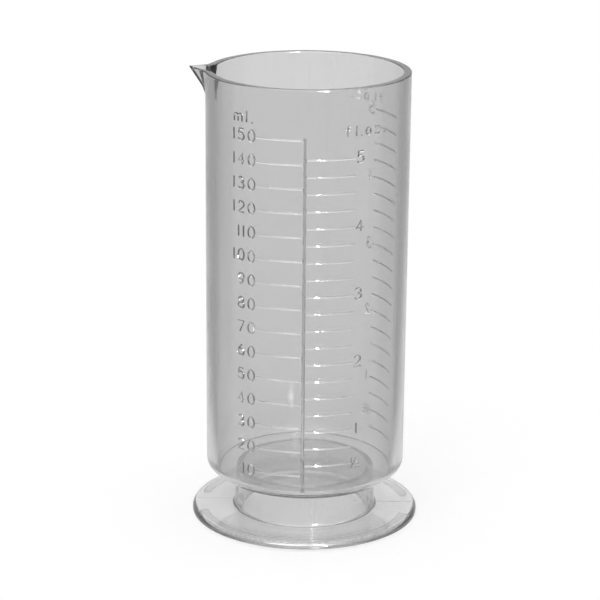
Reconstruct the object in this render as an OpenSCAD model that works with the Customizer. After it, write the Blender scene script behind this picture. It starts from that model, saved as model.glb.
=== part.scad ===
// Footed measuring graduate: a clear cup with a pouring lip and three raised scales,
// welded to a hollow foot. Millimetres.
// The origin is on the cup's axis, in the plane that the foot stands on. +Z is up, the
// lip points to -X, and the line that the two front scales share faces -Y.

/* [Cup] */
// Inside depth of the cup, from its floor to its rim
cup_depth = 101.75; // [92:0.05:140]
// Outside diameter of the cup at the rim
cup_d = 50.6; // [47:0.1:56]
// How much narrower the outside is at the floor than at the rim
cup_draft = 0.3; // [0:0.1:1]
// Wall thickness at the rim
rim_wall = 2.0; // [1.4:0.1:2.6]
// Wall thickness where the wall meets the floor
base_wall = 2.5; // [1.8:0.1:3.2]
// Thickness of the floor above the seat of the foot
floor_t = 2.05; // [1.2:0.05:2.4]
// Radius of the rounded corner under the cup
heel_r = 2.9; // [1.5:0.1:3]
// Radius of the rounded corner inside the cup
bore_fillet_r = 2.8; // [1:0.1:4]

/* [Seat under the cup] */
// Diameter of the raised seat that the foot is welded to
seat_d = 44; // [40:0.1:44.2]
// Height of the raised seat
seat_h = 0.8; // [0.4:0.1:1.4]

/* [Pouring lip] */
// How far the tip of the lip stands out from the cup
lip_reach = 4.2; // [3:0.1:6]
// Height of the tip above the rim
lip_rise = 0.6; // [0.2:0.1:1.4]
// Depth below the rim at which the lip's keel runs into the cup
lip_drop = 5.8; // [4:0.1:9]
// Angle between the lip's two sides, seen from above
lip_angle = 88; // [80:1:96]
// Thickness of the lip's two sides
lip_wall = 1.1; // [0.8:0.1:1.5]
// Reach of the blunt flare that leads from the cup's wall into the lip
flare_reach = 2.0; // [1.4:0.1:2.4]
// Angle between the flare's two sides, seen from above
flare_angle = 126; // [118:1:132]

/* [Foot] */
// Diameter of the foot
foot_d = 57.6; // [52:0.1:66]
// Thickness of the foot's disc
disc_t = 1.8; // [1.5:0.1:3]
// Radius of the round on the disc's upper edge
disc_top_r = 1.2; // [0.4:0.1:1.2]
// Radius of the round on the disc's lower edge
disc_low_r = 0.3; // [0.1:0.1:0.3]
// Outside diameter of the neck at the disc
neck_d = 36; // [30:0.1:39]
// How much narrower the neck's outside is at the top than at the disc
neck_taper = 0.8; // [0:0.1:1.2]
// Length of the neck, from the disc to the seat under the cup
neck_h = 9.1; // [5:0.1:16]
// Wall thickness of the neck at its top
neck_wall = 1.5; // [1:0.1:2.5]
// How much wider the neck's bore is at the bottom than at the top
neck_draft = 0.4; // [0:0.1:1]
// Radius of the fillet between the neck and the disc
neck_fillet_r = 0.7; // [0.3:0.1:1.5]

/* [Standing pads under the foot] */
// Height of the two curved pads that the foot stands on
pad_h = 0.5; // [0.3:0.1:1]
// Width of a pad
pad_w = 2.1; // [1:0.1:3]
// Distance from the foot's edge to a pad
pad_inset = 1.5; // [1:0.1:3]
// Angle that a pad spans
pad_span = 150; // [100:1:160]

/* [Raised scales] */
// How far below the cup's floor the scales have their zero
zero_drop = 1.05; // [0:0.05:1.4]
// How far the scale lines stand out from the wall
line_h = 0.25; // [0.15:0.05:0.4]
// Width of a scale line
line_w = 0.45; // [0.3:0.05:0.7]
// Width of the upright line that the two front scales share
spine_w = 0.5; // [0.3:0.05:0.8]
// How far the upright line stands out from the wall
spine_h = 0.3; // [0.2:0.05:0.5]
// Angle that a scale line spans round the cup
line_span = 28.2; // [20:0.1:34]
// Angle from the front to the middle of the scale at the back
rear_scale_angle = 120; // [105:1:135]
// Volume of one division of the millilitre scale, in millilitres
ml_step = 10; // [5:5:10]
// Number of divisions of the millilitre scale
ml_marks = 15; // [5:1:15]
// Volume of the highest mark of either ounce scale, in ounces
ounce_top = 5; // [2:1:5]
// Volume of one division of the ounce scales, in ounces
ounce_step = 0.25; // [0.25:0.25:0.5]

/* [Hidden] */

$fn = 96;

// Volume of one fluid ounce of each kind, in cubic millimetres
IMPERIAL_OUNCE = 28413.1;
US_OUNCE = 29573.5;
MILLILITRE = 1000;
// Lowest marks, in ounces
IMPERIAL_LOWEST = 0.5;
US_LOWEST = 0.25;

// How far a shape reaches into the shape that it joins or past the shape that it cuts
BITE = 0.4;
OVERCUT = 1;
// Tilt of the front, where the two front scales meet, from the X axis
FRONT = -90;

// Heights, from the table up
disc_z = pad_h;
neck_z = disc_z + disc_t;
seat_z = neck_z + neck_h;
heel_z = seat_z + seat_h;
floor_z = seat_z + floor_t;
rim_z = floor_z + cup_depth;

// Radii of the cup's outside and of its bore, at the rim and at the base
rim_r = cup_d / 2;
base_r = rim_r - cup_draft / 2;
rim_bore_r = rim_r - rim_wall;
base_bore_r = base_r - base_wall;
heel_top_z = heel_z + heel_r;

neck_r = neck_d / 2;
neck_top_r = neck_r - neck_taper / 2;
neck_bore_r = neck_top_r - neck_wall;
foot_r = foot_d / 2;
pad_outer_r = foot_r - pad_inset;

// The keel of the lip leans out from the cup by this angle
lean = atan(lip_reach / (lip_rise + lip_drop));
// The lip's top rises from the middle of the rim to the tip
lip_root_r = rim_r - rim_wall / 2;
lip_top_slope = atan(lip_rise / (rim_r + lip_reach - lip_root_r));

// Outside radius of the cup at a height
function wall_r(z) = base_r + (rim_r - base_r) * (z - heel_top_z) / (rim_z - heel_top_z);

// The bore's radius grows by this much for each millimetre of height
bore_slope = (rim_bore_r - base_bore_r) / cup_depth;

// Height and radius of the bore's cone at the zero of the scales
zero_z = floor_z - zero_drop;
zero_r = base_bore_r - bore_slope * zero_drop;

// Height of the mark above the table, for a volume in cubic millimetres of the bore's cone
function level_z(volume) =
    zero_z + (pow(3 * bore_slope * volume / PI + pow(zero_r, 3), 1 / 3) - zero_r) / bore_slope;

// Half of the angle between two sides, measured square to the leaning keel
function square_half(angle) = atan(tan(angle / 2) / cos(lean));

// How far a side's thickness moves the corner inwards, measured level
function corner_shift(angle, wall) = wall / sin(square_half(angle)) / cos(lean);

// A solid corner of the given angle whose keel leans out from the wall. Its keel starts
// the given depth inside the wall's outer face and passes the tip of the lip.
module leaning_corner(reach, angle, depth) {
    keel = (reach + depth) / sin(lean);
    inward = (reach + rim_wall) * cos(lean);
    half_width = inward * tan(square_half(angle));
    translate([-rim_r - reach, 0, rim_z + lip_rise * reach / lip_reach])
        rotate([0, -lean, 0])
            translate([0, 0, -keel])
                linear_extrude(keel + lip_rise + OVERCUT)
                    polygon([[0, 0], [inward, half_width], [inward, -half_width]]);
}

// The sloping top of the lip, rising from the rim to the tip
module above_lip() {
    size = 2 * rim_r;
    translate([-lip_root_r, 0, rim_z])
        rotate([0, lip_top_slope, 0])
            translate([-size / 2, -size / 2, 0]) cube(size);
}

module lip() {
    difference() {
        union() {
            leaning_corner(lip_reach, lip_angle, rim_wall / 2);
            leaning_corner(flare_reach, flare_angle, rim_wall / 2);
        }
        above_lip();
    }
}

module lip_channel() {
    depth = rim_wall + BITE;
    leaning_corner(lip_reach - corner_shift(lip_angle, lip_wall), lip_angle, depth);
    leaning_corner(flare_reach - corner_shift(flare_angle, rim_wall), flare_angle, depth);
}

// Half section of the cup's outside, with its rounded heel and the seat for the foot
module cup_section() {
    polygon([[0, heel_top_z], [base_r, heel_top_z], [rim_r, rim_z], [0, rim_z]]);
    translate([base_r - heel_r, heel_top_z]) circle(heel_r);
    translate([0, heel_z]) square([base_r - heel_r, heel_r]);
    translate([0, seat_z]) square([seat_d / 2, seat_h + heel_r]);
}

// Half section of the bore, with its rounded corner
module bore_section() {
    corner_z = floor_z + bore_fillet_r;
    top_z = rim_z + lip_rise + OVERCUT;
    polygon([[0, corner_z], [base_bore_r, corner_z],
             [rim_bore_r + bore_slope * (top_z - rim_z), top_z], [0, top_z]]);
    translate([base_bore_r - bore_fillet_r, corner_z]) circle(bore_fillet_r);
    translate([0, floor_z]) square([base_bore_r - bore_fillet_r, bore_fillet_r]);
}

// A rib on the wall between two heights and two angles from the front
module rib(low_z, high_z, from_angle, to_angle, height) {
    rotate([0, 0, FRONT + from_angle])
        rotate_extrude(angle = to_angle - from_angle)
            polygon([[wall_r(low_z) - BITE, low_z], [wall_r(low_z) + height, low_z],
                     [wall_r(high_z) + height, high_z], [wall_r(high_z) - BITE, high_z]]);
}

// One scale: a line at each volume from the lowest to the highest
module scale_lines(lowest, step, highest, from_angle, to_angle) {
    for (volume = [lowest : step : highest + step / 2])
        rib(level_z(volume) - line_w / 2, level_z(volume) + line_w / 2, from_angle, to_angle,
            line_h);
}

module scales() {
    ml_top = ml_marks * ml_step;
    spine_half = spine_w / rim_r * 90 / PI;
    root = spine_half / 2;
    scale_lines(ml_step * MILLILITRE, ml_step * MILLILITRE, ml_top * MILLILITRE,
                -line_span, -root);
    scale_lines(IMPERIAL_LOWEST * IMPERIAL_OUNCE, ounce_step * IMPERIAL_OUNCE,
                ounce_top * IMPERIAL_OUNCE, root, line_span);
    scale_lines(US_LOWEST * US_OUNCE, ounce_step * US_OUNCE, ounce_top * US_OUNCE,
                rear_scale_angle - line_span / 2, rear_scale_angle + line_span / 2);
    rib(heel_top_z - heel_r / 3, level_z(ml_top * MILLILITRE) + line_w, -spine_half, spine_half,
        spine_h);
}

// The cup: conical wall, rounded heel, pouring lip and the raised scales
module graduated_cup() {
    color([0.80, 0.82, 0.83, 0.6])
        difference() {
            union() {
                rotate_extrude() cup_section();
                lip();
                scales();
            }
            rotate_extrude() bore_section();
            lip_channel();
        }
}

// What a round of the given radius takes from a square corner at the origin
module corner_waste(radius) {
    difference() {
        translate([-radius, -radius]) square(radius + OVERCUT);
        translate([-radius, -radius]) circle(radius);
        translate([-2 * radius, -2 * radius]) square([radius, 2 * radius + OVERCUT + radius]);
        translate([-2 * radius, -2 * radius]) square([2 * radius + OVERCUT + radius, radius]);
    }
}

// Half section of the disc and the neck, solid to the axis
module foot_section() {
    difference() {
        translate([0, disc_z]) square([foot_r, disc_t]);
        translate([foot_r, neck_z]) corner_waste(disc_top_r);
        translate([foot_r, disc_z]) mirror([0, 1]) corner_waste(disc_low_r);
    }
    polygon([[0, disc_z], [neck_r, disc_z], [neck_r, neck_z + neck_fillet_r],
             [neck_top_r, seat_z], [0, seat_z]]);
    difference() {
        translate([0, disc_z]) square([neck_r + neck_fillet_r, disc_t + neck_fillet_r]);
        translate([neck_r + neck_fillet_r, neck_z + neck_fillet_r]) circle(neck_fillet_r);
    }
}

// A curved pad under the disc, with square ends
module standing_pad(middle_angle) {
    rotate([0, 0, middle_angle - pad_span / 2])
        rotate_extrude(angle = pad_span)
            translate([pad_outer_r - pad_w, 0]) square([pad_w, pad_h + BITE]);
}

// The two round ends of the pad at the back
module round_pad_ends(middle_angle) {
    for (side = [-1, 1])
        rotate([0, 0, middle_angle + side * pad_span / 2])
            translate([pad_outer_r - pad_w / 2, 0, 0]) cylinder(h = pad_h + BITE, d = pad_w);
}

// The foot: rounded disc, hollow neck and the two pads that it stands on
module foot() {
    color([0.84, 0.86, 0.87, 0.6])
        difference() {
            union() {
                rotate_extrude() foot_section();
                for (side = [0, 180]) standing_pad(FRONT + side);
                round_pad_ends(FRONT + 180);
            }
            translate([0, 0, disc_z - OVERCUT])
                cylinder(h = seat_z - disc_z + 2 * OVERCUT, r1 = neck_bore_r + neck_draft / 2,
                         r2 = neck_bore_r);
        }
}

graduated_cup();
foot();
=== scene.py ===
from math import atan, atan2, cos, hypot, pi, radians, sin, tan

import bmesh
import bpy
from mathutils import Matrix, Vector


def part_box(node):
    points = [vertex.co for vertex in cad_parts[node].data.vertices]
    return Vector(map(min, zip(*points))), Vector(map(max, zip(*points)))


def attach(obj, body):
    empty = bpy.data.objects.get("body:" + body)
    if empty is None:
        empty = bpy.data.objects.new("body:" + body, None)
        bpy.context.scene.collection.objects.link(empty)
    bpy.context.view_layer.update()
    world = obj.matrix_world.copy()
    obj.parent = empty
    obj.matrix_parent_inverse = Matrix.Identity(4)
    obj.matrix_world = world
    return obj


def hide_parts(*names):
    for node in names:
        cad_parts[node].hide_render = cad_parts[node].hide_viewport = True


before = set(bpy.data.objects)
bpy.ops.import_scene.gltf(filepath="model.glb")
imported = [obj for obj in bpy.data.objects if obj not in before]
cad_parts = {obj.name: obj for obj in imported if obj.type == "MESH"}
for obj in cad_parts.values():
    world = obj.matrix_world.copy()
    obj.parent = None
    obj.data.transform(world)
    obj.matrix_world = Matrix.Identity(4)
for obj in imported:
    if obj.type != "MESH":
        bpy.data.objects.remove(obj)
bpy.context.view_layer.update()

MM = 0.001
WELD = 1e-4

# Directions round the cup's axis, from +X
SPOUT_SIDE = radians(180)
FRONT = radians(-90)

# Heights and the foot's radius, from the frame
SEAT_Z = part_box("graduated_cup")[0][2] / MM
TIP_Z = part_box("graduated_cup")[1][2] / MM
FOOT_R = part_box("foot")[1][0] / MM

# Cup. The outside radii are at the rim and at the heel, and the bore's are at the rim and at
# the zero of the scales
TIP_RISE = 0.6
RIM_Z = TIP_Z - TIP_RISE
RIM_R = 25.3
BASE_R = 25.15
RIM_WALL = 2.0
BASE_WALL = 2.5
SEAT_R = 22.0
SEAT_H = 0.8
HEEL_Z = SEAT_Z + SEAT_H
HEEL_R = 2.9
CUP_FLOOR_T = 2.05
CUP_FLOOR_Z = SEAT_Z + CUP_FLOOR_T
CORNER_R = 1.2
RIM_ROUND = 0.35
SEAT_ROUND = 0.15
RIM_BORE_R = RIM_R - RIM_WALL
BASE_BORE_R = BASE_R - BASE_WALL
ARC_STEPS = 10

# Pouring lip: a corner drawn out of the wall, with a blunter flare behind it. Its inside is
# a corner of its own, as far in as LIP_WALL says. KEEL_ROUND rounds the corners, and BLEND
# rounds where they meet the wall
LIP_DROP = 5.8
LIP_REACH = 4.2
LIP_LEAN = atan(LIP_REACH / (TIP_RISE + LIP_DROP))
LIP_HALF_ANGLE = radians(44)
LIP_WALL = 0.65
INNER_LIP_HALF_ANGLE = radians(41)
FLARE_REACH = 2.0
FLARE_HALF_ANGLE = radians(63)
LIP_SECTOR = radians(56)
LIP_DEPTH = 13
LIP_ROWS = 44
LIP_COPIES = 8
REST_COPIES = 16
TURN_STEPS = 16
KEEL_ROUND = radians(0.5)
BLEND = 1.3

# Foot: a disc, a hollow neck that reaches a bite into the seat, and two pads below
DISC_Z = 0.5
DISC_T = 1.8
DISC_TOP_ROUND = 1.2
DISC_LOW_ROUND = 0.3
NECK_Z = DISC_Z + DISC_T
NECK_R = 18.0
NECK_TOP_R = 17.6
NECK_WALL = 1.5
NECK_DRAFT = 0.4
NECK_FILLET = 0.7
NECK_BITE = 0.02
PAD_W = 2.1
PAD_INSET = 1.5
PAD_OUTER_R = FOOT_R - PAD_INSET
PAD_HALF_SPAN = radians(75)
PAD_ROUND = 0.2
PAD_BITE = 0.3
PAD_STEPS = 80
PAD_END_STEPS = 12
SEAM_W = 0.2
SEAM_H = 0.06
SEAM_SUNK = 0.02
BORE_ROUND = 0.2
FOOT_COPIES = 16

# Raised scales. Angles are from the front, positive to the right. A line's peak is nearer its
# lower edge, by the share of its width that PEAK_SHARE gives, and RIB_DEPTH and SPINE_DEPTH
# are how far the ribs reach into the wall
LINE_W = 0.5
LINE_H = 0.19
PEAK_SHARE = 0.32
SPINE_W = 0.55
SPINE_HALF = SPINE_W / RIM_R / 2
SPINE_H = 0.36
SPINE_DEPTH = 0.2
SPINE_START = HEEL_Z + HEEL_R * 0.6
LINE_SPAN = radians(28.2)
REAR_SCALE = radians(120)
RIB_DEPTH = 0.03
RIB_ROUND = 0.04
RIB_ARC_STEPS = 4
RIB_STEP = radians(1.2)
ZERO_Z = 12.4
ML_STEP = 10
ML_MARKS = 15
OUNCE_TOP = 5
OUNCE_STEP = 0.25
IMPERIAL_OUNCE = 28413.1
US_OUNCE = 29573.5
MILLILITRE = 1000

# Numerals and unit marks: sizes between the middles of the strokes, where a number ends or
# starts, and where the first stroke of a unit mark stands. A stroke is a ridge that
# STROKE_RISE heightens outside and STROKE_BURIED flattens inside, and HALF_SIGN is the size of
# the figures in a half
SIGN_H = 2.68
SIGN_W = 1.82
SIGN_GAP = 1.25
BAR_W = 0.3
M_W = 1.32 * SIGN_W
STROKE_R = 0.26
STROKE_RISE = 1.3
STROKE_SUNK = 0.02
STROKE_BURIED = 0.1
NUMBER_RISE = 0.2
ML_NUMBER_END = radians(-28.6)
OUNCE_NUMBER_START = radians(29.3)
HALF_SIGN = 0.5
ML_MARK_X = radians(-42.5) * RIM_R
ML_MARK_Z = 106.5
OUNCE_MARK_X = radians(22) * RIM_R
OUNCE_MARK_Z = 103.9
OUNCE_MARK_SCALE = 0.9


def wall_r(z):
    """Outside radius of the cup at a height."""
    heel_top = HEEL_Z + HEEL_R
    return BASE_R + (RIM_R - BASE_R) * (z - heel_top) / (RIM_Z - heel_top)


def bore_r(z):
    """Radius of the cup's bore at a height."""
    return BASE_BORE_R + (RIM_BORE_R - BASE_BORE_R) * (z - ZERO_Z) / (RIM_Z - ZERO_Z)


def level_z(volume):
    """Height of the mark for a volume in cubic millimetres."""
    slope = (RIM_BORE_R - BASE_BORE_R) / (RIM_Z - ZERO_Z)
    return ZERO_Z + ((3 * slope * volume / pi + BASE_BORE_R**3) ** (1 / 3) - BASE_BORE_R) / slope


def finished(bm, name, crease=radians(35)):
    """An object from a mesh in millimetres, placed in metres, smooth up to the crease angle."""
    bmesh.ops.scale(bm, verts=bm.verts, vec=(MM, MM, MM))
    mesh = bpy.data.meshes.new(name)
    bm.to_mesh(mesh)
    bm.free()
    for face in mesh.polygons:
        face.use_smooth = True
    mesh.set_sharp_from_angle(angle=crease)
    piece = bpy.data.objects.new(name, mesh)
    bpy.context.scene.collection.objects.link(piece)
    return piece


def outline(corners, closed=False, steps=ARC_STEPS):
    """A mesh of edges through (x, z, round) corners in the XZ plane, its corners rounded."""
    bm = bmesh.new()
    verts = [bm.verts.new((x, 0, z)) for x, z, _ in corners]
    ends = verts[1:] + verts[:1] if closed else verts[1:]
    for start, end in zip(verts, ends):
        bm.edges.new((start, end))
    for vert, (_, _, offset) in zip(verts, corners):
        if offset:
            bmesh.ops.bevel(bm, geom=[vert], offset=offset, segments=steps, profile=0.5,
                            affect="VERTICES", material=-1)
    return bm


def cut_tall_edges(bm, low, high, cuts):
    """Cuts the outline's edges that run up the wall, at two heights and between them."""
    for z in (low, high):
        bmesh.ops.bisect_plane(bm, geom=bm.verts[:] + bm.edges[:], dist=WELD,
                               plane_co=(0, 0, z), plane_no=(0, 0, 1))
    tall = [edge for edge in bm.edges
            if min(vert.co.z for vert in edge.verts) > low - WELD
            and max(vert.co.z for vert in edge.verts) < high + WELD
            and edge.calc_length() > (high - low) / 2]
    bmesh.ops.subdivide_edges(bm, edges=tall, cuts=cuts)


def verts_in(geom):
    """The vertices in what an operator gives back."""
    return [item for item in geom if isinstance(item, bmesh.types.BMVert)]


def rotate(bm, verts, turn, axis="Z"):
    """Turns vertices about an axis through the origin."""
    bmesh.ops.rotate(bm, verts=verts, cent=(0, 0, 0), matrix=Matrix.Rotation(turn, 3, axis))


def add_copy(whole, bm, turn=0):
    """Adds a mesh to another one, turned about the cup's axis."""
    part = bpy.data.meshes.new("part")
    bm.to_mesh(part)
    old = len(whole.verts)
    whole.from_mesh(part)
    whole.verts.ensure_lookup_table()
    rotate(whole, whole.verts[old:], turn)
    bpy.data.meshes.remove(part)


def add_turned(whole, bm, start, angle, steps, copies=1):
    """Spins an outline about the axis in a few steps and adds copies of it side by side."""
    share = angle / copies
    bmesh.ops.spin(bm, geom=bm.verts[:] + bm.edges[:] + bm.faces[:], cent=(0, 0, 0),
                   axis=(0, 0, 1), angle=share, steps=steps, use_merge=False)
    for copy in range(copies):
        add_copy(whole, bm, start + share * copy)
    bm.free()


def close_up(bm):
    """Merges doubles and turns every face outwards."""
    bmesh.ops.remove_doubles(bm, verts=bm.verts, dist=WELD)
    bmesh.ops.recalc_face_normals(bm, faces=bm.faces)


def smooth_max(a, b, blend):
    """The larger of two lengths, rounded where they meet."""
    near = max(blend - abs(a - b), 0) / blend
    return max(a, b) + near * near * blend / 4


def corner_r(keel_r, half_angle, turn):
    """Distance from the cup's axis to a side of a corner, at an angle from the corner's tip."""
    rounded = hypot(turn, KEEL_ROUND)
    tip_r = keel_r * sin(half_angle + KEEL_ROUND / 2) / sin(half_angle)
    return tip_r * sin(half_angle) / sin(half_angle + rounded)


def side_shift(half_angle, wall):
    """How far a side's thickness moves the corner inwards, measured level."""
    square_half = atan(tan(half_angle) / cos(LIP_LEAN))
    return wall / sin(square_half) / cos(LIP_LEAN)


def lip_radii(turn, z):
    """Inner and outer radius of the cup with its pouring lip, at an angle from the tip."""
    keel = RIM_R + LIP_REACH + (z - TIP_Z) * tan(LIP_LEAN)
    flare_top = RIM_Z + TIP_RISE * FLARE_REACH / LIP_REACH
    flare = RIM_R + FLARE_REACH + (z - flare_top) * tan(LIP_LEAN)
    inner_keel = keel - side_shift(INNER_LIP_HALF_ANGLE, LIP_WALL)
    outer = smooth_max(wall_r(z), corner_r(flare, FLARE_HALF_ANGLE, turn), BLEND)
    outer = smooth_max(outer, corner_r(keel, LIP_HALF_ANGLE, turn), BLEND)
    inner = smooth_max(bore_r(z), corner_r(inner_keel, INNER_LIP_HALF_ANGLE, turn), BLEND)
    return inner, outer


def draw_lip(bm):
    """Draws the wall near the rim out into the pouring lip."""
    middle = RIM_R - RIM_WALL / 2
    for vert in bm.verts:
        x, y, z = vert.co
        turn = atan2(y, -x)
        if z < RIM_Z - LIP_DEPTH or abs(turn) > LIP_SECTOR / 2:
            continue
        height = (z - RIM_Z + LIP_DEPTH) / LIP_DEPTH
        share = (hypot(x, y) - bore_r(z)) / (wall_r(z) - bore_r(z))
        inner, outer = lip_radii(turn, z)
        reach = inner + share * (outer - inner)
        out = max(reach * cos(turn) - middle, 0) / (RIM_R + LIP_REACH - middle)
        lift = TIP_RISE * out * height**2
        inner, outer = lip_radii(turn, z + lift)
        reach = inner + share * (outer - inner)
        vert.co = (-reach * cos(turn), reach * sin(turn), z + lift)


def cup_body():
    """The cup without its scales: a turned section with the wall drawn out into the lip."""
    bm = bmesh.new()
    corners = [(0, SEAT_Z, 0), (SEAT_R, SEAT_Z, SEAT_ROUND), (SEAT_R, HEEL_Z, 0),
               (BASE_R, HEEL_Z, HEEL_R), (RIM_R, RIM_Z, RIM_ROUND),
               (RIM_BORE_R, RIM_Z, RIM_ROUND), (bore_r(CUP_FLOOR_Z), CUP_FLOOR_Z, CORNER_R),
               (0, CUP_FLOOR_Z, 0)]
    half = LIP_SECTOR / 2
    rest = 2 * pi - LIP_SECTOR
    for start, angle, copies in ((SPOUT_SIDE - half, LIP_SECTOR, LIP_COPIES),
                                 (SPOUT_SIDE + half, rest, REST_COPIES)):
        section = outline(corners)
        cut_tall_edges(section, RIM_Z - LIP_DEPTH, RIM_Z - RIM_ROUND, LIP_ROWS)
        add_turned(bm, section, start, angle, TURN_STEPS, copies)
    close_up(bm)
    draw_lip(bm)
    return bm


def rib(bm, low, high, start, end, height):
    """A peaked rib on the cup's wall, between two heights and two angles from the front."""
    peak = low + (high - low) * PEAK_SHARE
    section = outline([(wall_r(low) - RIB_DEPTH, low, 0),
                       (wall_r(peak) + height, peak, RIB_ROUND),
                       (wall_r(high) - RIB_DEPTH, high, 0)], closed=True, steps=RIB_ARC_STEPS)
    bmesh.ops.contextual_create(section, geom=section.edges[:])
    steps = max(2, round(abs(end - start) / RIB_STEP))
    add_turned(bm, section, FRONT + start, end - start, steps)


def scale_lines(volume, first, last, start, end):
    """The lines of one scale, from its first mark to its last."""
    bm = bmesh.new()
    for mark in range(first, round(last) + 1):
        z = level_z(mark * volume)
        rib(bm, z - LINE_W / 2, z + LINE_W / 2, start, end, LINE_H)
    bmesh.ops.recalc_face_normals(bm, faces=bm.faces)
    return bm


def upright_line():
    """The peaked line that the two front scales share, from the heel to the top mark."""
    low = SPINE_START
    top = level_z(ML_MARKS * ML_STEP * MILLILITRE) + LINE_W
    half = SPINE_W / 2 * (SPINE_H + SPINE_DEPTH) / SPINE_H
    bm = outline([(wall_r(low) - SPINE_DEPTH, -half, 0), (wall_r(low) + SPINE_H, 0, RIB_ROUND),
                  (wall_r(low) - SPINE_DEPTH, half, 0)], closed=True, steps=RIB_ARC_STEPS)
    bmesh.ops.contextual_create(bm, geom=bm.edges[:])
    rotate(bm, bm.verts, pi / 2, "X")
    raised = bmesh.ops.extrude_face_region(bm, geom=bm.faces[:])["geom"]
    bmesh.ops.translate(bm, verts=verts_in(raised),
                        vec=(wall_r(top) - wall_r(low), 0, top - low))
    bmesh.ops.translate(bm, verts=bm.verts, vec=(0, 0, low))
    rotate(bm, bm.verts, FRONT)
    bmesh.ops.recalc_face_normals(bm, faces=bm.faces)
    return bm


def arc(x, y, width, height, start, end):
    """Points on part of an ellipse round (x, y), between two angles in degrees."""
    steps = max(3, round(abs(end - start) / 15))
    angles = [radians(start + (end - start) * step / steps) for step in range(steps + 1)]
    return [(x + width / 2 * cos(angle), y + height / 2 * sin(angle)) for angle in angles]


def ring(x, y, width, height):
    """Points on a whole ellipse, without its last point."""
    return arc(x, y, width, height, 90, 450)[:-1]


# Strokes of each sign, on a scale where a sign is 1 high and most are 1 wide. The first
# stroke of a sign in CLOSED is a closed ring, and the 8 has two
SIGNS = {
    "0": [ring(0.5, 0.5, 1, 1)],
    "1": [[(0, 1), (0, 0)]],
    "2": [arc(0.5, 0.72, 0.96, 0.56, 160, -35) + [(0, 0), (1, 0)]],
    "3": [arc(0.45, 0.76, 0.9, 0.48, 150, -80) + arc(0.45, 0.26, 1.06, 0.52, 80, -150)],
    "4": [[(1, 0.28), (0, 0.28), (0.72, 1), (0.72, 0)]],
    "5": [[(0.9, 1), (0.2, 1), (0.1, 0.56)] + arc(0.45, 0.32, 1.06, 0.64, 120, -145)],
    "6": [arc(0.5, 0.3, 0.96, 0.6, 180, 540)[:-1], arc(0.95, 0.3, 1.86, 1.4, 180, 105)],
    "7": [[(0, 1), (1, 1), (0.3, 0)]],
    "8": [ring(0.5, 0.76, 0.8, 0.48), ring(0.5, 0.26, 1, 0.52)],
    "9": [arc(0.5, 0.7, 0.96, 0.6, 0, 360)[:-1], arc(0.05, 0.7, 1.86, 1.4, 0, -75)],
    "m": [[(0, 0), (0, 0.65)], arc(0.33, 0.45, 0.66, 0.4, 180, 0) + [(0.66, 0)],
          arc(0.99, 0.45, 0.66, 0.4, 180, 0) + [(1.32, 0)]],
    "l": [[(0, 1), (0, 0)]],
    "f": [arc(0.7, 0.75, 0.7, 0.5, 70, 180) + [(0.35, 0)], [(0, 0.66), (0.75, 0.66)]],
    "o": [ring(0.42, 0.33, 0.84, 0.66)],
    "z": [[(0, 0.64), (0.8, 0.64), (0, 0), (0.8, 0)]],
    ".": [[(0, -0.03), (0, 0.07)]],
    "/": [[(0, 0), (0.8, 1)]],
}
NARROW = "1l."
CLOSED = "0689o"


def sign_width(sign):
    """Width of a sign between the middles of its outer strokes."""
    if sign in NARROW:
        return BAR_W
    return M_W if sign == "m" else SIGN_W


def word_width(word):
    """Width of a word, with the gaps between its signs."""
    return sum(sign_width(sign) for sign in word) + SIGN_GAP * (len(word) - 1)


def write(splines, word, x, z, scale=1):
    """Adds the strokes of a word to a curve, from its left end and its foot."""
    for sign in word:
        width = sign_width(sign) * scale
        for number, stroke in enumerate(SIGNS[sign]):
            spline = splines.new("POLY")
            spline.points.add(len(stroke) - 1)
            across = SIGN_W * scale
            middle = width / 2 if sign in NARROW else 0
            for point, (u, v) in zip(spline.points, stroke):
                point.co = (x + middle + u * across, z + v * SIGN_H * scale, 0, 1)
            spline.use_cyclic_u = sign in CLOSED and (number == 0 or sign == "8")
        x += width + SIGN_GAP * scale


def wrapped(curve, name):
    """The strokes of a flat curve as peaked ridges on the cup's wall."""
    curve.dimensions = "3D"
    curve.bevel_depth = STROKE_R
    curve.bevel_resolution = 0
    curve.use_fill_caps = True
    flat = bpy.data.objects.new("flat", curve)
    bpy.context.scene.collection.objects.link(flat)
    graph = bpy.context.evaluated_depsgraph_get()
    mesh = bpy.data.meshes.new_from_object(flat.evaluated_get(graph))
    bm = bmesh.new()
    bm.from_mesh(mesh)
    bpy.data.objects.remove(flat)
    bpy.data.curves.remove(curve)
    bpy.data.meshes.remove(mesh)
    for vert in bm.verts:
        x, z, height = vert.co
        height *= STROKE_RISE if height > 0 else STROKE_BURIED
        turn = FRONT + x / RIM_R
        reach = wall_r(z) + height - STROKE_SUNK
        vert.co = (reach * cos(turn), reach * sin(turn), z)
    close_up(bm)
    return finished(bm, name)


def ml_numbers():
    """The numbers of the millilitre scale, which end at one angle."""
    curve = bpy.data.curves.new("ml_numbers", "CURVE")
    for mark in range(1, ML_MARKS + 1):
        word = str(mark * ML_STEP)
        z = level_z(mark * ML_STEP * MILLILITRE) + NUMBER_RISE - SIGN_H / 2
        write(curve.splines, word, ML_NUMBER_END * RIM_R - word_width(word), z)
    return wrapped(curve, "millilitre_numbers")


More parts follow.
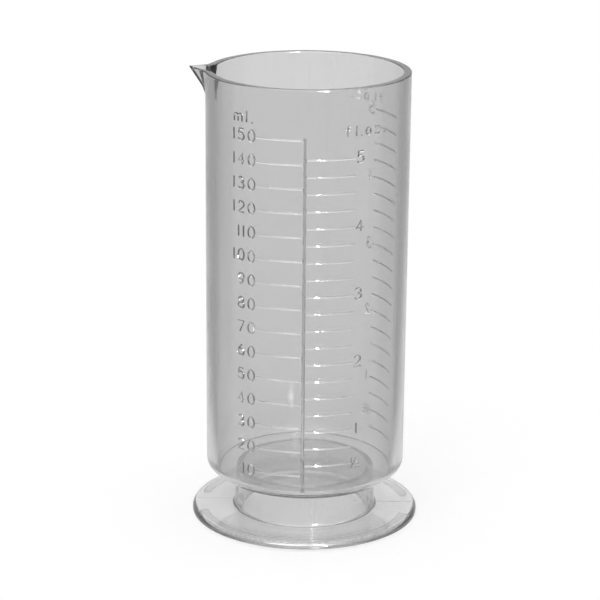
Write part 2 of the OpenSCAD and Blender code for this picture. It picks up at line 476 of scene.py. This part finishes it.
def ounce_numbers(ounce, turn, name):
    """The whole numbers and the half of an ounce scale that starts at an angle."""
    curve = bpy.data.curves.new("ounce_numbers", "CURVE")
    start = (turn + OUNCE_NUMBER_START) * RIM_R
    for number in range(1, OUNCE_TOP + 1):
        word = str(number)
        z = level_z(number * ounce) + NUMBER_RISE - SIGN_H / 2
        write(curve.splines, word, start + (SIGN_W - sign_width(word)) / 2, z)
    z = level_z(ounce / 2) - SIGN_H * HALF_SIGN
    write(curve.splines, "1", start - BAR_W, z + SIGN_H * HALF_SIGN, HALF_SIGN)
    write(curve.splines, "/", start - BAR_W, z)
    write(curve.splines, "2", start + SIGN_W * HALF_SIGN, z, HALF_SIGN)
    return wrapped(curve, name)


def unit_marks():
    """The unit above each scale."""
    curve = bpy.data.curves.new("unit_marks", "CURVE")
    write(curve.splines, "ml.", ML_MARK_X, ML_MARK_Z)
    write(curve.splines, "fl.oz.", OUNCE_MARK_X, OUNCE_MARK_Z, OUNCE_MARK_SCALE)
    write(curve.splines, "fl.oz.", OUNCE_MARK_X + (REAR_SCALE - LINE_SPAN / 2) * RIM_R,
          OUNCE_MARK_Z, OUNCE_MARK_SCALE)
    return wrapped(curve, "unit_marks")


def foot_body():
    """The foot: a disc with a rounded edge and a hollow neck."""
    bm = bmesh.new()
    bore_top = NECK_TOP_R - NECK_WALL
    bore_low = bore_top + NECK_DRAFT / 2
    top = SEAT_Z + NECK_BITE
    section = outline([(bore_top, top, 0), (NECK_TOP_R, top, 0), (NECK_R, NECK_Z, NECK_FILLET),
                       (FOOT_R, NECK_Z, DISC_TOP_ROUND), (FOOT_R, DISC_Z, DISC_LOW_ROUND),
                       (bore_low, DISC_Z, BORE_ROUND)], closed=True)
    add_turned(bm, section, 0, 2 * pi, TURN_STEPS, FOOT_COPIES)
    close_up(bm)
    return bm


def standing_pads():
    """The two curved pads under the disc. The one at the back has round ends."""
    bm = bmesh.new()
    top = DISC_Z + PAD_BITE
    middle_r = PAD_OUTER_R - PAD_W / 2
    for middle, round_ends in ((FRONT, False), (FRONT + pi, True)):
        section = outline([(PAD_OUTER_R - PAD_W, 0, PAD_ROUND), (middle_r, 0, 0),
                           (PAD_OUTER_R, 0, PAD_ROUND), (PAD_OUTER_R, top, 0),
                           (middle_r, top, 0), (PAD_OUTER_R - PAD_W, top, 0)], closed=True,
                          steps=RIB_ARC_STEPS)
        if not round_ends:
            bmesh.ops.contextual_create(section, geom=section.edges[:])
        add_turned(bm, section, middle - PAD_HALF_SPAN, 2 * PAD_HALF_SPAN, PAD_STEPS)
        if not round_ends:
            continue
        for side in (-1, 1):
            half = outline([(0, 0, 0), (PAD_W / 2, 0, PAD_ROUND), (PAD_W / 2, top, 0),
                            (0, top, 0)], steps=RIB_ARC_STEPS)
            end = bmesh.new()
            add_turned(end, half, 0, side * pi, PAD_END_STEPS)
            bmesh.ops.translate(end, verts=end.verts, vec=(middle_r, 0, 0))
            rotate(end, end.verts, middle + side * PAD_HALF_SPAN)
            add_copy(bm, end)
    close_up(bm)
    return bm


def foot_mould_lines():
    """The fine line that the two halves of the mould left across the foot, on both sides."""
    bm = outline([(-SEAM_W / 2, NECK_Z - SEAM_SUNK, 0), (0, NECK_Z + SEAM_H, 0),
                  (SEAM_W / 2, NECK_Z - SEAM_SUNK, 0)], closed=True)
    bmesh.ops.contextual_create(bm, geom=bm.edges[:])
    rotate(bm, bm.verts, pi / 2)
    start = NECK_R + NECK_FILLET
    end = FOOT_R - DISC_TOP_ROUND
    bmesh.ops.translate(bm, verts=bm.verts, vec=(start, 0, 0))
    drawn = bmesh.ops.extrude_face_region(bm, geom=bm.faces[:])["geom"]
    bmesh.ops.translate(bm, verts=verts_in(drawn), vec=(end - start, 0, 0))
    copy = bmesh.ops.duplicate(bm, geom=bm.verts[:] + bm.edges[:] + bm.faces[:])["geom"]
    rotate(bm, verts_in(copy), pi)
    bmesh.ops.recalc_face_normals(bm, faces=bm.faces)
    return bm


# Finish. A mask is a noise: its scale, its detail, and the two levels between which it rises
# from 0 to 1. Scuffs are patches with specks and streaks in them
GLOSS = 0.025
PATCHES = (70, 4, 0.42, 0.68)
SPECKS = (1600, 2, 0.56, 0.72)
STREAKS = (1, 1, 0.64, 0.74)
STREAK_STRETCH = (1500, 1500, 60)
STREAK_TURN = (0.3, 0.2, 0)
WAVES = (90, 1, 0, 1)
SPECK_HEIGHT = 0.004
SCUFF_SHADE = 0.5
PLASTIC_IOR = 1.58

# The tint is at the surface and the grey is in the depth. Both are painted shade: they stand in
# for the dim surroundings that show through the clear plastic, and the foot's are set apart from
# the cup's for its tone. The marks are too thin for either
CUP_SHADE_TINT = 0.83
CUP_SHADE_GREY = 16
CUP_SCUFFS = 0.2
FOOT_SHADE_TINT = 0.87
FOOT_SHADE_GREY = 16
FOOT_SCUFFS = 0.35
WALL_WAVES = 0.02
MARK_SCUFFS = 0.2


def sum_node(nodes, links, operation, first, second=0):
    """One step of arithmetic in a material, on outputs of other nodes or on numbers."""
    step = nodes.new("ShaderNodeMath")
    step.operation = operation
    for socket, value in zip(step.inputs, (first, second)):
        if isinstance(value, bpy.types.NodeSocket):
            links.new(value, socket)
        else:
            socket.default_value = value
    return step.outputs[0]


def noise(nodes, links, vector, scale, detail, low, high):
    """A mask from noise: 0 below one level and 1 above another."""
    cloud = nodes.new("ShaderNodeTexNoise")
    cloud.inputs["Scale"].default_value = scale
    cloud.inputs["Detail"].default_value = detail
    links.new(vector, cloud.inputs["Vector"])
    mask = nodes.new("ShaderNodeMapRange")
    mask.inputs["From Min"].default_value = low
    mask.inputs["From Max"].default_value = high
    links.new(cloud.outputs["Fac"], mask.inputs["Value"])
    return mask.outputs["Result"]


def ramp(nodes, links, value, low, high, at_low=0, at_high=1):
    """A soft step from one value to another, while an output rises between two levels."""
    step = nodes.new("ShaderNodeMapRange")
    step.interpolation_type = "SMOOTHSTEP"
    step.inputs["From Min"].default_value = low
    step.inputs["From Max"].default_value = high
    step.inputs["To Min"].default_value = at_low
    step.inputs["To Max"].default_value = at_high
    links.new(value, step.inputs["Value"])
    return step.outputs["Result"]


def handled_surface():
    """Scuffs, rubbed streaks and the slight waves of a moulded and handled clear plastic."""
    group = bpy.data.node_groups.new("handled_surface", "ShaderNodeTree")
    for socket in ("Vector", "Gloss", "Scuffs", "Waves"):
        kind = "NodeSocketVector" if socket == "Vector" else "NodeSocketFloat"
        group.interface.new_socket(socket, in_out="INPUT", socket_type=kind)
    for socket in ("Roughness", "Height", "Shade"):
        group.interface.new_socket(socket, in_out="OUTPUT", socket_type="NodeSocketFloat")
    nodes = group.nodes
    links = group.links
    given = nodes.new("NodeGroupInput").outputs
    made = nodes.new("NodeGroupOutput").inputs
    patches = noise(nodes, links, given["Vector"], *PATCHES)
    specks = noise(nodes, links, given["Vector"], *SPECKS)
    stretch = nodes.new("ShaderNodeMapping")
    stretch.inputs["Rotation"].default_value = STREAK_TURN
    stretch.inputs["Scale"].default_value = STREAK_STRETCH
    links.new(given["Vector"], stretch.inputs["Vector"])
    streaks = noise(nodes, links, stretch.outputs[0], *STREAKS)
    rubbed = sum_node(nodes, links, "MAXIMUM", specks, streaks)
    worn = sum_node(nodes, links, "MULTIPLY", patches, rubbed)
    scuffs = sum_node(nodes, links, "MULTIPLY", worn, given["Scuffs"])
    links.new(sum_node(nodes, links, "ADD", given["Gloss"], scuffs), made["Roughness"])
    waves = noise(nodes, links, given["Vector"], *WAVES)
    wave_height = sum_node(nodes, links, "MULTIPLY", waves, given["Waves"])
    speck_height = sum_node(nodes, links, "MULTIPLY", worn, SPECK_HEIGHT)
    links.new(sum_node(nodes, links, "ADD", wave_height, speck_height), made["Height"])
    dulled = sum_node(nodes, links, "MULTIPLY", scuffs, SCUFF_SHADE)
    links.new(sum_node(nodes, links, "SUBTRACT", 1, dulled), made["Shade"])
    return group


def clear_plastic(name, shade_tint=1, shade_greyness=0, scuffs=0, waves=0):
    """Clear moulded plastic: glossy, with what it is given of painted shade, as a grey tint and a
    grey in the depth, and of scuffs and slight waves.
    """
    material = bpy.data.materials.new(name)
    material.use_nodes = True
    nodes = material.node_tree.nodes
    links = material.node_tree.links
    shader = nodes["Principled BSDF"]
    shader.inputs["IOR"].default_value = PLASTIC_IOR
    shader.inputs["Transmission Weight"].default_value = 1
    place = nodes.new("ShaderNodeTexCoord")
    surface = nodes.new("ShaderNodeGroup")
    surface.node_tree = handled
    surface.inputs["Gloss"].default_value = GLOSS
    surface.inputs["Scuffs"].default_value = scuffs
    surface.inputs["Waves"].default_value = waves
    links.new(place.outputs["Object"], surface.inputs["Vector"])
    links.new(surface.outputs["Roughness"], shader.inputs["Roughness"])
    bump = nodes.new("ShaderNodeBump")
    bump.inputs["Strength"].default_value = 1
    bump.inputs["Distance"].default_value = MM
    links.new(surface.outputs["Height"], bump.inputs["Height"])
    links.new(bump.outputs["Normal"], shader.inputs["Normal"])
    shade = nodes.new("ShaderNodeMix")
    shade.data_type = "RGBA"
    shade.blend_type = "MULTIPLY"
    shade.inputs["Factor"].default_value = 1
    colour = [socket for socket in shade.inputs if socket.type == "RGBA"]
    # Painted shade: the grey tint darkens what shows through the plastic, and the scuffs darken it
    # a little more as wear
    colour[0].default_value = (shade_tint, shade_tint, shade_tint, 1)
    links.new(surface.outputs["Shade"], colour[1])
    links.new([out for out in shade.outputs if out.type == "RGBA"][0], shader.inputs["Base Color"])
    # Painted shade: a grey in the depth darkens what shows through the thicker plastic
    if shade_greyness:
        grey = nodes.new("ShaderNodeVolumeAbsorption")
        grey.inputs["Color"].default_value = (0, 0, 0, 1)
        grey.inputs["Density"].default_value = shade_greyness
        links.new(grey.outputs["Volume"], nodes["Material Output"].inputs["Volume"])
    return material


def dress(piece, material, node):
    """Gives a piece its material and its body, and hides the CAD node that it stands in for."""
    piece.data.materials.clear()
    piece.data.materials.append(material)
    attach(piece, "root")
    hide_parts(node)


handled = handled_surface()
# The tints and greys given here are painted shade, set apart for the cup and for the foot
wall_plastic = clear_plastic("clear_cup_plastic", CUP_SHADE_TINT, CUP_SHADE_GREY, CUP_SCUFFS, WALL_WAVES)
foot_plastic = clear_plastic("clear_foot_plastic", FOOT_SHADE_TINT, FOOT_SHADE_GREY, FOOT_SCUFFS, WALL_WAVES)
mark_plastic = clear_plastic("clear_mark_plastic", scuffs=MARK_SCUFFS)

dress(finished(cup_body(), "cup_wall"), wall_plastic, "graduated_cup")
dress(finished(foot_body(), "foot_disc_and_neck"), foot_plastic, "foot")
dress(finished(standing_pads(), "standing_pads"), foot_plastic, "foot")
dress(finished(foot_mould_lines(), "foot_mould_lines"), foot_plastic, "foot")

# Volume of a division, first mark, last mark, and the angles where the lines start and end
SCALES = {
    "millilitre_lines": (ML_STEP * MILLILITRE, 1, ML_MARKS, -LINE_SPAN, -SPINE_HALF),
    "imperial_ounce_lines": (OUNCE_STEP * IMPERIAL_OUNCE, 2, OUNCE_TOP / OUNCE_STEP, SPINE_HALF,
                             LINE_SPAN),
    "us_ounce_lines": (OUNCE_STEP * US_OUNCE, 1, OUNCE_TOP / OUNCE_STEP,
                       REAR_SCALE - LINE_SPAN / 2, REAR_SCALE + LINE_SPAN / 2),
}
for name, scale in SCALES.items():
    dress(finished(scale_lines(*scale), name), mark_plastic, "graduated_cup")
dress(finished(upright_line(), "upright_line"), mark_plastic, "graduated_cup")
for piece in (ml_numbers(), ounce_numbers(IMPERIAL_OUNCE, 0, "imperial_ounce_numbers"),
              ounce_numbers(US_OUNCE, REAR_SCALE - LINE_SPAN / 2, "us_ounce_numbers"),
              unit_marks()):
    dress(piece, mark_plastic, "graduated_cup")


# Camera, at the photograph's viewing angle. Lengths in metres, angles in radians
CAMERA_DISTANCE = 0.55987
CAMERA_HEIGHT = 0.22706
CAMERA_PITCH = 0.2958
CAMERA_ROLL = 0.0092
CAMERA_YAW = -0.0023
PART_TURN = radians(1.4)
FOCAL_PIXELS = 2324.87
CENTRE_PIXEL = (301.2, 299.3)
IMAGE_PIXELS = 600
SENSOR_MM = 36
NEAREST_SEEN = 0.01


def add_camera():
    """The camera that the photograph's frame asks for."""
    forward = Vector((sin(CAMERA_YAW) * cos(CAMERA_PITCH), cos(CAMERA_YAW) * cos(CAMERA_PITCH),
                      -sin(CAMERA_PITCH)))
    level = Vector((cos(CAMERA_YAW), -sin(CAMERA_YAW), 0))
    upward = level.cross(forward)
    right = cos(CAMERA_ROLL) * level + sin(CAMERA_ROLL) * upward
    up = cos(CAMERA_ROLL) * upward - sin(CAMERA_ROLL) * level
    place = Matrix((right, up, -forward)).transposed().to_4x4()
    place.translation = Vector((0, -CAMERA_DISTANCE, CAMERA_HEIGHT))
    camera = bpy.data.objects.new("camera", bpy.data.cameras.new("camera"))
    bpy.context.scene.collection.objects.link(camera)
    camera.matrix_world = Matrix.Rotation(PART_TURN, 4, "Z") @ place
    camera.data.sensor_width = SENSOR_MM
    camera.data.lens = FOCAL_PIXELS / IMAGE_PIXELS * SENSOR_MM
    camera.data.shift_x = (IMAGE_PIXELS / 2 - CENTRE_PIXEL[0]) / IMAGE_PIXELS
    camera.data.shift_y = (CENTRE_PIXEL[1] - IMAGE_PIXELS / 2) / IMAGE_PIXELS
    camera.data.clip_start = NEAREST_SEEN
    bpy.context.scene.camera = camera


# Floor: a pale grey in plain light, and white to the camera by FLOOR_GLOW. Seen in the plastic
# or through it, a sheet of paper glows on it, in front of the object and in a fan behind it,
# and the rest of the table stays dark
FLOOR_SIZE = 6
FLOOR_COLOUR = 0.36
FLOOR_ROUGHNESS = 0.9
FLOOR_GLOW = 0.67
PAPER_GLOW = 0.47
PAPER_HALF_WIDTH = 0.035
PAPER_FRONT = 0.05
PAPER_SPREAD = 0.15
PAPER_FADE = 0.25
FRONT_EDGE = 0.035
FRONT_FADE = 10
TABLE_GLOW = 0.09
# Painted light: UNDER_GLOW is a glow on the table inside the neck's hollow, seen through the
# plastic, that lifts the shade the object casts there
UNDER_GLOW = 0.03

# World: plain for the light that falls on things, and white to the camera. Seen in the plastic
# or through it, a bright sheet hangs behind and in front, its sides are dim, and it is
# brighter overhead
SHEET_EDGE = 0.25
SHEET_FADE = 0.35
WORLD_SHEET = 0.85
WORLD_SIDES = 0.3
ABOVE_LOW = 0.38
ABOVE_HIGH = 0.55
ABOVE_GAIN = 2.6
WORLD_PLAIN = 0.9
WORLD_BACKGROUND = 1.0

LAMP_AIM = Vector((0, 0, 0.06))
LIGHT_BOUNCES = 128


def seen_in_plastic(nodes, links, path):
    """1 for what shows in the plastic or through it, and 0 for everything else."""
    return sum_node(nodes, links, "MAXIMUM", path.outputs["Is Glossy Ray"],
                    path.outputs["Is Transmission Ray"])


def add_floor():
    """The table top that the object stands on."""
    bm = bmesh.new()
    bmesh.ops.create_grid(bm, x_segments=1, y_segments=1, size=FLOOR_SIZE / 2)
    mesh = bpy.data.meshes.new("floor")
    bm.to_mesh(mesh)
    bm.free()
    floor = bpy.data.objects.new("floor", mesh)
    bpy.context.scene.collection.objects.link(floor)
    material = bpy.data.materials.new("pale_table")
    material.use_nodes = True
    nodes = material.node_tree.nodes
    links = material.node_tree.links
    shader = nodes["Principled BSDF"]
    shader.inputs["Base Color"].default_value = (FLOOR_COLOUR, FLOOR_COLOUR, FLOOR_COLOUR, 1)
    shader.inputs["Roughness"].default_value = FLOOR_ROUGHNESS
    shader.inputs["Specular IOR Level"].default_value = 0
    shader.inputs["Emission Color"].default_value = (1, 1, 1, 1)
    place = nodes.new("ShaderNodeTexCoord")
    split = nodes.new("ShaderNodeSeparateXYZ")
    links.new(place.outputs["Object"], split.inputs[0])
    beside = sum_node(nodes, links, "ABSOLUTE", split.outputs["X"])
    past_paper = sum_node(nodes, links, "SUBTRACT", beside, PAPER_HALF_WIDTH)
    behind = sum_node(nodes, links, "ADD", split.outputs["Y"], PAPER_FRONT)
    reach = sum_node(nodes, links, "MAXIMUM", behind, PAPER_FRONT)
    spread = sum_node(nodes, links, "DIVIDE", past_paper, reach)
    from_front = sum_node(nodes, links, "ADD", split.outputs["Y"], FRONT_EDGE)
    ahead = sum_node(nodes, links, "MULTIPLY", from_front, FRONT_FADE)
    edge = sum_node(nodes, links, "MINIMUM", spread, ahead)
    paper = ramp(nodes, links, edge, PAPER_SPREAD, PAPER_SPREAD + PAPER_FADE,
                 PAPER_GLOW, TABLE_GLOW)
    from_axis = nodes.new("ShaderNodeVectorMath")
    from_axis.operation = "LENGTH"
    links.new(place.outputs["Object"], from_axis.inputs[0])
    # Painted light: a ring of glow inside the neck's hollow, shown only in the plastic and through
    # it, that lightens the shade under the object
    painted_light_under_neck = ramp(nodes, links, from_axis.outputs["Value"], (NECK_R - NECK_WALL) * MM,
                      NECK_R * MM, UNDER_GLOW, 0)
    lit = sum_node(nodes, links, "ADD", paper, painted_light_under_neck)
    path = nodes.new("ShaderNodeLightPath")
    through = sum_node(nodes, links, "MULTIPLY", seen_in_plastic(nodes, links, path), lit)
    straight = sum_node(nodes, links, "MULTIPLY", path.outputs["Is Camera Ray"], FLOOR_GLOW)
    glow = sum_node(nodes, links, "MAXIMUM", through, straight)
    links.new(glow, shader.inputs["Emission Strength"])
    mesh.materials.append(material)


def add_world():
    """The light from all round, and what shows in the plastic."""
    world = bpy.data.worlds.new("studio")
    bpy.context.scene.world = world
    world.use_nodes = True
    nodes = world.node_tree.nodes
    links = world.node_tree.links
    background = nodes["Background"]
    background.inputs["Color"].default_value = (1, 1, 1, 1)
    path = nodes.new("ShaderNodeLightPath")
    place = nodes.new("ShaderNodeTexCoord")
    split = nodes.new("ShaderNodeSeparateXYZ")
    links.new(place.outputs["Generated"], split.inputs[0])
    beside = sum_node(nodes, links, "ABSOLUTE", split.outputs["X"])
    sheet = ramp(nodes, links, beside, SHEET_EDGE, SHEET_EDGE + SHEET_FADE,
                 WORLD_SHEET, WORLD_SIDES)
    above = ramp(nodes, links, split.outputs["Z"], ABOVE_LOW, ABOVE_HIGH, 1, ABOVE_GAIN)
    sky = sum_node(nodes, links, "MULTIPLY", sheet, above)
    seen = nodes.new("ShaderNodeMapRange")
    seen.inputs["To Min"].default_value = WORLD_PLAIN
    links.new(sky, seen.inputs["To Max"])
    links.new(seen_in_plastic(nodes, links, path), seen.inputs["Value"])
    strength = nodes.new("ShaderNodeMapRange")
    links.new(seen.outputs["Result"], strength.inputs["To Min"])
    strength.inputs["To Max"].default_value = WORLD_BACKGROUND
    links.new(path.outputs["Is Camera Ray"], strength.inputs["Value"])
    links.new(strength.outputs["Result"], background.inputs["Strength"])


def add_lamp(name, place, size, watts, tallness=1, on_gloss_only=False):
    """A lamp that faces the object. One on gloss only shows in the plastic and leaves the
    floor as it is."""
    lamp = bpy.data.lights.new(name, "AREA")
    lamp.energy = watts
    lamp.shape = "RECTANGLE"
    lamp.size = size
    lamp.size_y = size * tallness
    holder = bpy.data.objects.new(name, lamp)
    bpy.context.scene.collection.objects.link(holder)
    holder.location = place
    aim = LAMP_AIM - Vector(place)
    holder.rotation_euler = aim.to_track_quat("-Z", "Y").to_euler()
    holder.visible_diffuse = not on_gloss_only


add_camera()
add_floor()
add_world()
# Place and width in metres, and power in watts
add_lamp("soft_front", (-0.5, -0.9, 1.3), 0.8, 3)
add_lamp("glint_lamp", (0.25, -0.9, 0.7), 0.07, 8, tallness=5, on_gloss_only=True)
add_lamp("low_glint_lamp", (0.36, -0.98, 0.36), 0.13, 24, on_gloss_only=True)

cycles = bpy.context.scene.cycles
cycles.max_bounces = LIGHT_BOUNCES
cycles.transmission_bounces = LIGHT_BOUNCES
cycles.glossy_bounces = LIGHT_BOUNCES
bpy.context.scene.view_settings.view_transform = "Standard"
